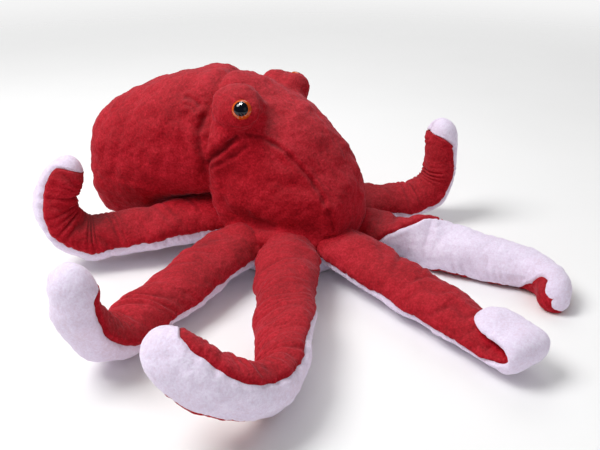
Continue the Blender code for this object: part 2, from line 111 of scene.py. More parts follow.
SHOULDER = 0.014
FLARE = 0.0020  # the arms widen at the root until they meet
TIP_ROUNDING = 0.015
ROOT_END = -0.0105  # where an arm's covers start, inside the body
TAPERED = 0.060  # the length before the tip over which an arm narrows
THINNED = 0.120  # the length before the tip over which an arm flattens
GRID = 0.0008  # the length of an arm's mesh faces
SEAM_WIDTH, SEAM_DEPTH = 1.5, 1.0  # mm
LIP_HEIGHT, LIP_PLACE, LIP_WIDTH = 0.35, 3.6, 2.4  # mm, the swelling on both sides of a seam
TUCK_SPACING = 0.0078  # the small folds that the stitches pull into the plush
TUCK_DEPTH, TUCK_REACH = 0.9, 5.0  # mm
# The waviness of a stuffed arm: (height in mm, wavelength in m, seed).
ARM_WAVES = ((0.55, 0.024, 50), (0.16, 0.0075, 51), (0.07, 0.0034, 52))
PILE = 0.3  # mm, how far the plush stands above the cover
MEAN_RADIUS = 15.0  # mm, which turns an angle around an arm into a length
GROUND, BODY_GROUND = 0.0002, 0.0005  # nothing lies lower
MERGING = 2e-5  # points of a grid that are nearer than this become one
HINGE_TOLERANCE = 0.001

# Head and mantle: lofts along Y as in the CAD, (y, half width, bottom, top, squareness).
HEAD = (
    (-0.0500, 0.003, 0.040, 0.046, 2.0), (-0.0485, 0.014, 0.026, 0.056, 2.0),
    (-0.044, 0.025, 0.008, 0.068, 2.0), (-0.036, 0.031, 0.004, 0.080, 2.0),
    (-0.024, 0.036, 0.003, 0.093, 2.1), (-0.010, 0.038, 0.003, 0.105, 2.1),
    (0.006, 0.039, 0.003, 0.112, 2.2), (0.022, 0.039, 0.003, 0.119, 2.2),
    (0.036, 0.0385, 0.003, 0.1222, 2.2), (0.041, 0.036, 0.006, 0.1205, 2.2),
    (0.046, 0.028, 0.020, 0.108, 2.2),
)
MANTLE = (
    (0.036, 0.030, 0.050, 0.110, 2.2), (0.040, 0.035, 0.043, 0.116, 2.2),
    (0.044, 0.038, 0.0385, 0.1220, 2.2), (0.050, 0.040, 0.0365, 0.1235, 2.4),
    (0.064, 0.042, 0.0345, 0.1220, 2.6), (0.080, 0.043, 0.0285, 0.1175, 2.7),
    (0.095, 0.043, 0.019, 0.1120, 2.8), (0.111, 0.042, 0.013, 0.1060, 2.8),
    (0.122, 0.041, 0.010, 0.1005, 2.8), (0.131, 0.0385, 0.012, 0.0955, 2.7),
    (0.138, 0.034, 0.018, 0.0890, 2.5), (0.1425, 0.026, 0.027, 0.0810, 2.3),
    (0.145, 0.013, 0.040, 0.0690, 2.1), (0.1458, 0.003, 0.050, 0.0600, 2.0),
)
# The plush hoods: side (-1 is the right one), shift from the CAD's hood and radii. They differ a
# little, as stuffed ones do.
HOODS = ((-1, (0.0005, 0.0042, 0.0040), (0.0140, 0.0168, 0.0152)),
         (1, (0.0003, 0.0030, 0.0015), (0.0130, 0.0144, 0.0153)))
# A swelling behind and below each hood.
POUCH_SHIFT, POUCH_RADII = Vector((-0.003, 0.009, -0.010)), (0.0135, 0.015, 0.0135)
# The left hood bulges a little further forwards.
BROW_CENTRE, BROW_RADII = (0.0255, 0.0112, 0.1070), (0.0120, 0.0120, 0.0120)
PAD_DEPTH, PAD_RADII = 0.0036, (0.0105, 0.0105, 0.0042)  # the plush swelling under each eye
HEM_RADIUS, HEM_HEIGHT, HEM_THICKNESS = 0.0375, 0.0245, 0.0085  # the ring the arms start from
BODY_VOXEL, BODY_SMOOTHING, BROW_SMOOTHING = 0.0011, 16, 22
HOOD_CENTRE = Vector((0.027, 0.018, 0.103))
HOOD_RADII = Vector((0.014, 0.0155, 0.0165))
EYE_AXIS = Vector((0.85, -0.28, 0.42)).normalized()
EYE_RADIUS = 0.006
EYE_DOME, EYE_RIM = 0.0038, 0.0006  # the height of the amber dome, and of the rim it starts from
EYE_STEM = [(0.0, -0.0085), (0.0014, -0.0085), (0.0014, -0.0022)]  # (radius, height)
PUPIL_RADIUS, PUPIL_DOME, PUPIL_LIFT = 0.0049, 0.0036, 0.0016


# Numbers that vary smoothly

def ease(value):
    value = np.clip(value, 0, 1)
    return value * value * (3 - 2 * value)


def ripple(points, wavelength, seed, waves=22):
    """Smooth noise of about unit size over points in space."""
    chance = np.random.RandomState(seed)
    total = np.zeros(points.shape[:-1])
    for _ in range(waves):
        heading = chance.normal(size=3)
        heading *= chance.uniform(0.75, 1.4) / np.linalg.norm(heading)
        total += np.cos(points @ heading * (2 * math.pi / wavelength) + chance.uniform(0, 6.283))
    return total * math.sqrt(2 / waves)


def sway(distance, wavelength, seed, waves=6):
    """Smooth noise of about unit size along a line."""
    chance = np.random.RandomState(seed)
    total = np.zeros_like(distance)
    for _ in range(waves):
        pace = 2 * math.pi / wavelength * chance.uniform(0.6, 1.6)
        total += np.cos(distance * pace + chance.uniform(0, 6.283))
    return total * math.sqrt(2 / waves)


def unit(vectors):
    return vectors / np.maximum(np.linalg.norm(vectors, axis=-1, keepdims=True), 1e-9)


# Arms

class Line:
    """The centre line of an arm, which gives its place and directions at any distance."""

    def __init__(self, arm):
        angle = math.radians(arm.heading)
        along = Vector((math.cos(angle), math.sin(angle), 0))
        up = Vector((0, 0, 1))
        lean = Matrix.Rotation(math.radians(arm.tilt), 3, along.cross(up))
        point = along * RING + Vector((0, 0, arm.height))
        along, up = lean @ along, lean @ up
        rows = [(0.0, *point, *along, *up)]
        gone = 0.0
        for length, curl, turn, roll in arm.bends:
            count = max(1, round(length / 0.001))
            for _ in range(count):
                for degrees, axis in ((curl, along.cross(up)), (turn, up), (roll, along)):
                    spin = Matrix.Rotation(math.radians(degrees / count), 3, axis)
                    along, up = spin @ along, spin @ up
                point = point + along * (length / count)
                gone += length / count
                rows.append((gone, *point, *along, *up))
        self.rows = np.array(rows)
        self.plump, self.taper, self.thin = arm.plump, arm.taper, arm.thin
        self.length = gone

    def at(self, distance):
        """Centres, along and up vectors; before the root the arm runs straight on."""
        inside = np.maximum(distance, 0)
        values = [np.interp(inside, self.rows[:, 0], self.rows[:, k]) for k in range(1, 10)]
        centre, along, up = (np.stack(values[k:k + 3], -1) for k in (0, 3, 6))
        along, up = unit(along), unit(up)
        return centre + along * np.minimum(distance, 0)[..., None], along, up

    def section(self, distance):
        share = np.maximum(distance, 0) / self.length
        wide = ROOT_HALF_WIDTH + (ARM_HALF_WIDTH - ROOT_HALF_WIDTH) * ease(distance / SHOULDER)
        wide = wide + FLARE * ease((distance + 0.010) / 0.010) * ease(1 - distance / 0.034)
        wide = wide + (TIP_HALF_WIDTH - ARM_HALF_WIDTH) * share
        high = ARM_HALF_HEIGHT + (TIP_HALF_HEIGHT - ARM_HALF_HEIGHT) * share
        narrowing = 1 - (1 - self.taper) * ease((distance - self.length + TAPERED) / TAPERED)
        wide = wide * narrowing
        high = high * narrowing * (1 + (self.plump - 1) * ease((distance + 0.012) / 0.012))
        high = high * (1 - (1 - self.thin) * ease((distance - self.length + THINNED) / THINNED))
        ahead = (distance - self.length + TIP_ROUNDING) / TIP_ROUNDING
        beyond = np.where(distance < 0, -distance / ARM_HALF_HEIGHT, np.maximum(ahead, 0))
        end = np.maximum(1 - np.clip(beyond, 0, 1) ** 2.3, 0) ** (1 / 2.1)
        return wide * end, high * end


def seam_reach(arm, line, distance, seed):
    """Degrees from the crown down to the right and to the left seam of an arm."""
    table = np.array(arm.seams)
    closing = np.sqrt(np.clip((line.length - arm.cap - distance) / 0.009, 0, 1))
    sides = []
    for side in (1, 2):
        wander = 2.4 * sway(distance, 0.028, seed + side) + 0.8 * sway(distance, 0.009, seed + 9 + side)
        wander *= ease((distance - 0.004) / 0.012)
        drop = np.interp(distance, table[:, 0], table[:, side])
        sides.append((90 + drop + wander) * closing)
    return sides


def fold(phase, chance, count=64):
    """Rounded ridges with narrow valleys, each of its own depth, for a running phase."""
    depths = chance.uniform(0.35, 1.0, count + 1)
    which = np.clip(np.round(phase).astype(int), 0, count)
    valley = 1 - np.abs(np.sin(math.pi * phase)) ** 0.9
    return 0.3 - 1.3 * valley * depths[which]


def gathers_rise(arm, distance, degrees, seed):
    """Height in mm of the folds across an arm."""
    rise = np.zeros_like(degrees)
    for index, (start, end, spacing, depth, middle, spread, slant) in enumerate(arm.gathers):
        chance = np.random.RandomState(seed + 31 * index)
        away = (degrees - middle + 180) % 360 - 180
        drift = slant * away / 90 + 0.30 * sway(distance + away * 1e-4, 0.03, seed + index)
        phase = (distance - start) / spacing + drift + 4
        window = ease((distance - start) / 0.008) * ease((end - distance) / 0.010)
        weight = window * np.exp(-(away / spread) ** 2)
        rise += depth * weight * fold(phase, chance)
    return rise


def skin(arm, line, distance, degrees, seed, reach):
    """Points of an arm's plush surface at distances (n, 1) and angles (n, m) around it, with painted
    shade that darkens its folds and seams.
    """
    centre, along, up = line.at(distance)
    side = np.cross(along, up)
    wide, high = line.section(distance)
    wide, high = wide + PILE * MM * (wide > 0.004), high + PILE * MM * (high > 0.004)
    turn = np.radians(degrees)
    across, rising = np.cos(turn)[..., None], np.sin(turn)[..., None]
    base = centre + side * across * wide[..., None] + up * rising * high[..., None]
    outward = unit(side * across / (wide[..., None] + 1e-4) + up * rising / (high[..., None] + 1e-4))
    rise = gathers_rise(arm, distance, degrees, seed)
    # painted shade: the plush is darkened in the valleys of the gathers and along the seams
    fold_shade = rise.copy()
    for sign, edge in ((-1, reach[0]), (1, reach[1])):
        gap = ((degrees - 90 - sign * edge + 180) % 360 - 180) * math.pi / 180 * MEAN_RADIUS
        rise -= SEAM_DEPTH * np.exp(-(gap / SEAM_WIDTH) ** 2)
        rise += LIP_HEIGHT * np.exp(-((np.abs(gap) - LIP_PLACE) / LIP_WIDTH) ** 2)
        phase = math.pi * distance / TUCK_SPACING + sway(distance, 0.02, seed + 3)
        tuck = 1 - np.abs(np.sin(phase)) ** 0.6
        bite = np.clip(0.45 + 0.5 * sway(distance, 0.011, seed + 5 + sign), 0, 1.5)
        rise -= TUCK_DEPTH * tuck * bite * np.exp(-(gap / TUCK_REACH) ** 2)
        fold_shade -= 0.8 * np.exp(-(gap / 0.9) ** 2)
    for height, wavelength, number in ARM_WAVES:
        rise += height * ripple(base, wavelength, seed + number)
    calm = np.clip(wide / (0.7 * ARM_HALF_WIDTH), 0, 1) * ease((distance + 0.012) / 0.012)
    placed = base + outward * (rise * calm * MM)[..., None]
    placed[..., 2] = np.maximum(placed[..., 2], GROUND)
    # the second value is the painted shade for the folds and seams
    return placed, np.clip(-fold_shade * calm / 2.2, 0, 1)


def set_shade(data, values):
    """Stores painted shade for each vertex, from how deep in a fold or seam it lies; the plush is
    painted darker there.
    """
    data.attributes.new("shade", "FLOAT", "POINT").data.foreach_set("value", values.ravel())


def grid_mesh(name, points, shade=None):
    """A mesh from a grid of points, with coinciding points merged."""
    rows, columns = points.shape[:2]
    index = np.arange(rows * columns).reshape(rows, columns)
    corners = (index[:-1, :-1], index[:-1, 1:], index[1:, 1:], index[1:, :-1])
    faces = np.stack(corners, -1).reshape(-1, 4)
    data = bpy.data.meshes.new(name)
    data.from_pydata(points.reshape(-1, 3).tolist(), [], faces.tolist())
    if shade is not None:
        set_shade(data, shade)
    made = bpy.data.objects.new(name, data)
    bpy.context.scene.collection.objects.link(made)
    weld = made.modifiers.new("weld", "WELD")
    weld.merge_threshold = MERGING
    settle(made)
    return made


def settle(made):
    """Applies an object's modifiers and shades it smooth."""
    graph = bpy.context.evaluated_depsgraph_get()
    data = bpy.data.meshes.new_from_object(made.evaluated_get(graph))
    made.modifiers.clear()
    made.data = data
    data.shade_smooth()
    return made


def arm_piece(name, key, arm, line, stretch, panel):
    start, end = {"inner": (ROOT_END, arm.split), "outer": (arm.split, line.length)}[stretch]
    if panel == "red":
        end = min(end, line.length - arm.cap)
    seed = 100 * (1 + sorted(ARMS).index(key))
    count = max(4, round((end - start) / GRID))
    distance = np.linspace(start, end, count + 1)[:, None]
    if stretch == "outer":
        near = max(0.0, end - 0.016)
        body = np.linspace(start, near, max(4, round((near - start) / GRID)) + 1)
        round_off = near + (end - near) * np.sin(np.linspace(0, 1, 19)[1:] * math.pi / 2)
        distance = np.concatenate([body, round_off])[:, None]
    reach = seam_reach(arm, line, distance, seed)
    around = 44 if panel == "red" else 34
    share = np.linspace(0, 1, around + 1)[None, :]
    if panel == "red":
        low, high = 90 + reach[1], 90 - reach[0]
    else:
        low, high = 450 - reach[0], 90 + reach[1]
    degrees = low + (high - low) * share
    return grid_mesh(name, *skin(arm, line, distance, degrees, seed, reach))


def build_arm(key, arm, looks):
    line = Line(arm)
    hinge = next(joint for joint in frame["joints"] if joint["name"] == f"arm_{key}_curl")
    away = np.linalg.norm(line.rows[:, 1:4] - np.array(hinge["pos_m"]), axis=1)
    if away.min() > HINGE_TOLERANCE:
        raise ValueError(f"arm {key} misses its curl hinge by {away.min() * 1000:.1f} mm")
    bend_at = line.rows[away.argmin(), 0]
    for stretch in ("inner", "outer"):
        for panel, node in (("red", "top_cover"), ("white", "under_cover")):
            made = arm_piece(f"arm_{key}_{stretch}_{panel}", key, arm, line, stretch, panel)
            dress(made, looks[panel])
            part = f"arm_{key}_{stretch}"
            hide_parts(f"{part}_{node}")
            if panel == "red":
                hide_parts(f"{part}_filling")
            if stretch == "inner":
                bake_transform(made)
            else:
                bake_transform(made)


# Head and mantle

def smooth_stations(stations, blur=0.003):
    """The stations at every millimetre, with their corners rounded off."""
    table = np.array(stations)
    places = np.arange(table[0, 0], table[-1, 0] + 1e-6, 0.001)
    weights = np.hanning(int(2 * blur / 0.001) + 3)[1:-1]
    columns = [places]
    for k in range(1, 5):
        values = np.interp(places, table[:, 0], table[:, k])
        half = len(weights) // 2
        padded = np.concatenate([np.full(half, values[0]), values, np.full(half, values[-1])])
        columns.append(np.convolve(padded, weights / weights.sum(), mode="valid"))
    return np.stack(columns, -1)


def closed_loft(name, stations, around=96):
    table = smooth_stations(stations)
    turn = np.linspace(0, 2 * math.pi, around + 1)[None, :]
    y, wide, bottom, top, square = (table[:, k][:, None] for k in range(5))
    across = np.sign(np.cos(turn)) * np.abs(np.cos(turn)) ** (2 / square)
    rising = np.sign(np.sin(turn)) * np.abs(np.sin(turn)) ** (2 / square)
    rings = np.stack([across * wide, y + 0 * turn, (top + bottom) / 2 + rising * (top - bottom) / 2], -1)
    first, last = (np.repeat(rings[k].mean(0)[None], around + 1, 0) for k in (0, -1))
    return grid_mesh(name, np.concatenate([first[None], rings, last[None]])[:, ::-1])


def ball(name, centre, radii, spin=None, rings=40):
    """A closed ellipsoid, turned by a rotation matrix."""
    polar = np.linspace(0, math.pi, rings)[:, None]
    turn = np.linspace(0, 2 * math.pi, 2 * rings + 1)[None, :]
    points = np.stack([np.sin(polar) * np.cos(turn), np.sin(polar) * np.sin(turn),
                       np.cos(polar) + 0 * turn], -1) * np.array(radii)
    if spin is not None:
        points = points @ np.array(spin).T
    return grid_mesh(name, (points + np.array(centre))[:, ::-1])


def joined(name, things, voxel, smoothing):
    """One closed skin around several closed meshes, with the creases between them softened."""
    gathered = bmesh.new()
    for thing in things:
        gathered.from_mesh(thing.data)
        bpy.data.objects.remove(thing)
    data = bpy.data.meshes.new(name)
    gathered.to_mesh(data)
    gathered.free()
    made = bpy.data.objects.new(name, data)
    bpy.context.scene.collection.objects.link(made)
    remesh = made.modifiers.new("skin", "REMESH")
    remesh.mode = "VOXEL"
    remesh.voxel_size = voxel
    remesh.adaptivity = 0
    soft = made.modifiers.new("soft", "SMOOTH")
    soft.factor, soft.iterations = 0.5, smoothing
    return settle(made)


def vertices_of(made):
    count = len(made.data.vertices)
    places, normals = np.empty(count * 3), np.empty(count * 3, np.float32)
    made.data.vertices.foreach_get("co", places)
    made.data.vertex_normals.foreach_get("vector", normals)
    return places.reshape(-1, 3), normals.reshape(-1, 3).astype(float)


def along_path(points, normals, path):
    """Distance of each point from a path over the surface, and how far along it that is."""
    best = np.full(len(points), 1e9)
    share = np.zeros(len(points))
    gone = 0.0
    for start, end in zip(path, path[1:]):
        run = end - start
        length = np.linalg.norm(run)
        t = np.clip((points - start) @ run / length ** 2, 0, 1)
        apart = points - start - t[:, None] * run
        depth = np.abs((apart * normals).sum(1))
        sideways = np.maximum((apart ** 2).sum(1) - depth ** 2, 0)
        away = np.sqrt(sideways) + 3 * np.maximum(depth - 7, 0)
        share = np.where(away < best, gone + t * length, share)
        best = np.minimum(best, away)
        gone += length
    return best, share / gone


# Lines drawn on the head, in mm on its right side: (kind, width, depth, points).
LINES = (
    ("seam", 1.2, 1.35, ((-36.5, 19.6, 92.5), (-35.0, 11.2, 92.8), (-30.6, 6.0, 90.8),
                         (-29.5, 0.7, 88.2), (-30.3, -5.3, 85.6), (-30.8, -10.6, 83.3),
                         (-31.3, -20.5, 75.9), (-29.4, -27.7, 67.3), (-29.8, -34.6, 57.3),
                         (-28.8, -38.3, 47.6), (-25.6, -40.6, 35.7))),
    ("crease", 2.2, 2.6, ((-37.0, 43.4, 68.7), (-37.4, 35.3, 76.5), (-37.1, 29.4, 81.3),
                          (-36.7, 23.0, 88.0), (-36.5, 18.0, 92.0))),
    ("crease", 1.8, 1.4, ((-37.0, 39.6, 66.1), (-39.0, 26.4, 75.8), (-37.8, 17.1, 82.2),
                          (-35.4, 11.5, 87.0))),
    ("crease", 2.4, 1.5, ((-30.8, 43.1, 104.6), (-33.4, 43.3, 100.9), (-35.6, 44.2, 96.1),
                          (-38.2, 45.3, 91.5), (-39.8, 45.0, 82.9), (-38.7, 43.3, 72.8),
                          (-35.0, 45.5, 60.0))),
    ("crease", 5.0, 1.1, ((-38.6, 34, 50), (-38.3, 27.5, 44), (-38.2, 14.5, 39), (-36.1, 3, 34),
                          (-34.8, -8, 33.0))),
    ("crease", 1.6, 1.1, ((-31.7, 60.0, 110.0), (-31.1, 55.0, 109.0), (-31.6, 50.3, 108.0),
                          (-32.0, 46.0, 105.0))),
    ("crease", 1.2, 0.7, ((-33.7, 58.0, 106.0), (-33.6, 53.0, 105.0), (-33.6, 48.0, 102.0))),
)
# Soft bumps: (centre, radius, height), mm.
BUMPS = (
    ((-36, 31, 88), 10, 2.6), ((-34, 24, 97), 9, 1.2), ((-37.5, 33, 70), 7, 1.6),
    ((-30.5, -12, 83), 4, 1.3), ((-31.5, 22, 74), 5, 1.0),
    ((-37, 20, 58), 14, 1.2), ((-30, -8, 92), 7, 0.9), ((-38, 60, 88), 16, 1.2),
    ((-40, 85, 80), 12, -1.0), ((-36, 110, 95), 12, 0.9), ((-40, 105, 50), 15, 1.0),
)
# Where the hoods run out smoothly: (centre, radius), mm.
BROWS = (((-23, 5, 110), 8), ((-26, 4, 101), 6.5))
# The waviness of the stuffed body: (height in mm, wavelength in m, seed).
BODY_WAVES = ((0.65, 0.034, 700), (0.30, 0.015, 701), (0.13, 0.0065, 702), (0.06, 0.0034, 703))


def line_relief(kind, width, depth, away, share):
    """Height in mm around a seam or a crease, and how much painted shade darkens the surface in it."""
    if kind == "seam":
        window = ease(share / 0.04 + 0.3)
        rise = 0.55 * window * np.exp(-((away - 2.6) / 1.6) ** 2)
    else:
        window = ease(share / 0.12) * ease((1 - share) / 0.10)
        rise = 0.35 * depth * window * np.exp(-((away - 1.9 * width) / (1.3 * width)) ** 2)
    rise -= depth * window * np.exp(-(away / width) ** 2)
    return rise, 0.4 * depth * window * np.exp(-(away / (0.8 * width)) ** 2)


def sculpt_body(made):
    """Seams, creases, bumps and the soft waviness of stuffed fabric, on both sides, with painted shade
    in the seams and creases.
    """
    places, normals = vertices_of(made)
    mm = places / MM
    rise = np.zeros(len(mm))
    painted_shade = np.zeros(len(mm))
    for side in (-1, 1):
        flip = np.array([-side, 1, 1])
        for number, (kind, width, depth, path) in enumerate(LINES):
            away, share = along_path(mm, normals, np.array(path) * flip)
            away = away + 0.35 * ripple(places, 0.009, 900 + number)
            raised, line_shade = line_relief(kind, width, depth, away, share)
            rise += raised
            painted_shade = np.maximum(painted_shade, line_shade)
        for centre, radius, height in BUMPS:
            away = np.linalg.norm(mm - np.array(centre) * flip, axis=1)
            rise += height * np.exp(-(away / radius) ** 2)
    for height, wavelength, seed in BODY_WAVES:
        rise += height * ripple(places, wavelength, seed)
    places += normals * (rise * MM)[:, None]
    places[:, 2] = np.maximum(places[:, 2], BODY_GROUND)
    made.data.vertices.foreach_set("co", places.ravel())
    # painted shade in the seams and creases, which darkens the plush there
    set_shade(made.data, np.clip(painted_shade, 0, 1))
    made.data.update()


def relax(data, places, weight, rounds):
    """Smooths the places of a mesh's vertices, most where the weight is 1."""
    count = len(places)
    edges = np.empty(len(data.edges) * 2, int)
    data.edges.foreach_get("vertices", edges)
    first, second = edges.reshape(-1, 2).T
    ends, others = np.concatenate([first, second]), np.concatenate([second, first])
    number = np.bincount(ends, minlength=count)[:, None]
    for _ in range(rounds):
        total = np.stack([np.bincount(ends, places[others, k], count) for k in range(3)], -1)
        places = places + weight[:, None] * (total / number - places)
    return places


def soften_brows(made):
    """Lets the hoods run out smoothly into the forehead, as one stuffed cover does."""
    places, _ = vertices_of(made)
    for side in (-1, 1):
        for centre, radius in BROWS:
            away = np.linalg.norm(places / MM - np.array(centre) * (-side, 1, 1), axis=1)
            places = relax(made.data, places, np.exp(-(away / radius) ** 4), BROW_SMOOTHING)
    made.data.vertices.foreach_set("co", places.ravel())
    made.data.update()


def parted(made, name, keep):
    """A copy of the faces of a mesh that keep() chooses by their centres."""
    data = made.data
    count = len(data.polygons)
    centres = np.empty(count * 3)
    data.polygons.foreach_get("center", centres)
    chosen = keep(centres.reshape(-1, 3))
    places, _ = vertices_of(made)
    faces = [tuple(face.vertices) for face, wanted in zip(data.polygons, chosen) if wanted]
    used = sorted({corner for face in faces for corner in face})
    renumber = {old: new for new, old in enumerate(used)}
    copy = bpy.data.meshes.new(name)
    copy.from_pydata(places[used].tolist(), [], [[renumber[c] for c in face] for face in faces])
    shade = np.empty(len(places))
    data.attributes["shade"].data.foreach_get("value", shade)
    set_shade(copy, shade[used])
    copy.shade_smooth()
    part = bpy.data.objects.new(name, copy)
    bpy.context.scene.collection.objects.link(part)
    return part


def neck_line(centres):
    """True behind the fold in which the mantle meets the head."""
    lean = np.clip((centres[:, 2] - 0.06) / 0.06, 0, 1)
    return centres[:, 1] > 0.0425 + 0.001 * lean


def eye_seat(side):
    """The direction an eye looks in and the middle of its base, on the hood."""
    flip = Vector((side, 1, 1))
    stretched = Vector([a / r for a, r in zip(EYE_AXIS, HOOD_RADII)])
    return EYE_AXIS * flip, (HOOD_CENTRE + EYE_AXIS / stretched.length) * flip


def hem_ring():
    turn = np.linspace(0, 2 * math.pi, 97)[:, None]
    tube = np.linspace(0, 2 * math.pi, 25)[None, :]
    radius = HEM_RADIUS + HEM_THICKNESS * np.cos(tube)
    height = HEM_HEIGHT + HEM_THICKNESS * np.sin(tube) + 0 * turn
    return grid_mesh("hem", np.stack([radius * np.cos(turn), radius * np.sin(turn), height], -1))


def build_body(looks):
    things = [closed_loft("head_form", HEAD), closed_loft("mantle_form", MANTLE)]
    for side, shift, radii in HOODS:
        flip = Vector((side, 1, 1))
        things.append(ball("hood", (HOOD_CENTRE + Vector(shift)) * flip, radii))
        things.append(ball("pouch", (HOOD_CENTRE + POUCH_SHIFT) * flip, POUCH_RADII))
        axis, point = eye_seat(side)
        spin = axis.to_track_quat("Z", "Y").to_matrix()
        things.append(ball("eye_pad", point - axis * PAD_DEPTH, PAD_RADII, spin))
    things.append(ball("brow", BROW_CENTRE, BROW_RADII))
    things.append(hem_ring())
    whole = joined("body_form", things, BODY_VOXEL, BODY_SMOOTHING)
    soften_brows(whole)
    sculpt_body(whole)
    head = parted(whole, "head", lambda centres: ~neck_line(centres))
    mantle = parted(whole, "mantle", neck_line)
    bpy.data.objects.remove(whole)
    for made in (head, mantle):
        dress(made, looks["red"])
        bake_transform(made)
    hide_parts("head_cover", "head_filling", "right_eye_hood", "left_eye_hood")
    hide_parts("mantle_cover", "mantle_filling")


def build_underside(looks):
    """The white panel below the body, which the arms' white panels join."""
    profile = ((0.0, 0.0004), (0.020, 0.0004), (0.034, 0.0006), (0.040, 0.0016), (0.0435, 0.0045),
               (0.0455, 0.009), (0.0455, 0.0135), (0.043, 0.017), (0.038, 0.019))
    table = np.array(profile)
    share = np.linspace(0, len(table) - 1, 60)
    radius = np.interp(share, range(len(table)), table[:, 0])[:, None]
    height = np.interp(share, range(len(table)), table[:, 1])[:, None]
    turn = np.linspace(0, 2 * math.pi, 241)[None, :]
    star = 1 + 0.02 * np.cos(8 * (turn - math.radians(22.5)))
    points = np.stack([radius * star * np.cos(turn), radius * star * np.sin(turn),
                       height + 0 * turn], -1)
    made = grid_mesh("underside", points[:, ::-1])
    places, normals = vertices_of(made)
    places += normals * (0.25 * MM * ripple(places, 0.012, 61))[:, None]
    places[:, 2] = np.maximum(places[:, 2], GROUND)
    made.data.vertices.foreach_set("co", places.ravel())
    dress(made, looks["white"])
    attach(made, "body")
    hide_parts("base_panel")


# Eyes

def lathe(name, profile, axis, point, around=64):
    """A profile of (radius, height) in metres, turned about an axis through a point."""
    table = np.array(profile)
    turn = np.linspace(0, 2 * math.pi, around + 1)[None, :]
    points = np.stack([table[:, :1] * np.cos(turn), table[:, :1] * np.sin(turn),
                       table[:, 1:] + 0 * turn], -1)
    spin = np.array(axis.to_track_quat("Z", "Y").to_matrix())
    return grid_mesh(name, points @ spin.T + np.array(point))


def arc(radius, height, low, high, lift, steps=14):
    """Part of an elliptic arc from the rim towards the middle, as (radius, height) pairs."""
    turns = [math.radians(low + (high - low) * i / steps) for i in range(steps + 1)]
    return [(radius * math.cos(t), lift + height * math.sin(t)) for t in turns]


def build_eyes(looks):
    for word, side in (("right", -1), ("left", 1)):
        axis, point = eye_seat(side)
        profile = EYE_STEM + [(EYE_RADIUS * 0.92, -0.0018), (EYE_RADIUS, 0.0002)]
        profile += arc(EYE_RADIUS, EYE_DOME, 6, 90, EYE_RIM)
        iris = lathe(f"{word}_eye_iris", profile, axis, point)
        dress(iris, looks["amber"])
        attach(iris, "body")
        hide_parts(f"{word}_eye")
        profile = [(0.0, PUPIL_LIFT - 0.0010), (0.0045, PUPIL_LIFT - 0.0006)]
        profile += arc(PUPIL_RADIUS, PUPIL_DOME, 0, 90, PUPIL_LIFT)
        pupil = lathe(f"{word}_eye_pupil", profile, axis, point)
        dress(pupil, looks["black"])
        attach(pupil, "body")
        frame["nodes"][f"{word}_eye_washer"].data.materials.clear()
        frame["nodes"][f"{word}_eye_washer"].data.materials.append(looks["nylon"])


# Materials

def dress(made, look):
    made.data.materials.clear()
    made.data.materials.append(look)


def feed(tree, socket, value):
    """Links a socket to another one, or gives it a value."""
    if isinstance(value, bpy.types.NodeSocket):
        tree.links.new(value, socket)
    else:
        socket.default_value = value


class Nodes:
    """Short names for building a material's node tree."""

    def __init__(self, name):
        self.material = bpy.data.materials.new(name)
        self.material.use_nodes = True
        self.tree = self.material.node_tree
        self.shader = self.tree.nodes["Principled BSDF"]
        self.place = self.tree.nodes.new("ShaderNodeTexCoord").outputs["Object"]

    def add(self, kind, **values):
        made = self.tree.nodes.new(kind)
        for key, value in values.items():
            if key.startswith("set_"):
                setattr(made, key[4:], value)
            else:
                feed(self.tree, made.inputs[key.replace("_", " ")], value)
        return made

    def noise(self, size, detail=3.0, roughness=0.55):
        return self.add("ShaderNodeTexNoise", Vector=self.place, Scale=1 / size, Detail=detail,
                        Roughness=roughness).outputs["Fac"]

    def ramp(self, value, *stops):
        made = self.add("ShaderNodeValToRGB", Fac=value)
        elements = made.color_ramp.elements
        while len(elements) < len(stops):
            elements.new(0.5)
        for element, (place, colour) in zip(elements, stops):
            element.position = place
            element.color = (*colour, 1)
        return made.outputs["Color"]

    def mix(self, share, first, second):
        made = self.add("ShaderNodeMix", set_data_type="RGBA")
        for index, value in ((0, share), (6, first), (7, second)):
            feed(self.tree, made.inputs[index], value)
        return made.outputs[2]

    def sum(self, first, second, kind="ADD"):
        made = self.add("ShaderNodeMath", set_operation=kind)
        for socket, value in zip(made.inputs, (first, second)):
            feed(self.tree, socket, value)
        return made.outputs[0]

    def set(self, **values):
        for key, value in values.items():
            feed(self.tree, self.shader.inputs[key.replace("_", " ")], value)


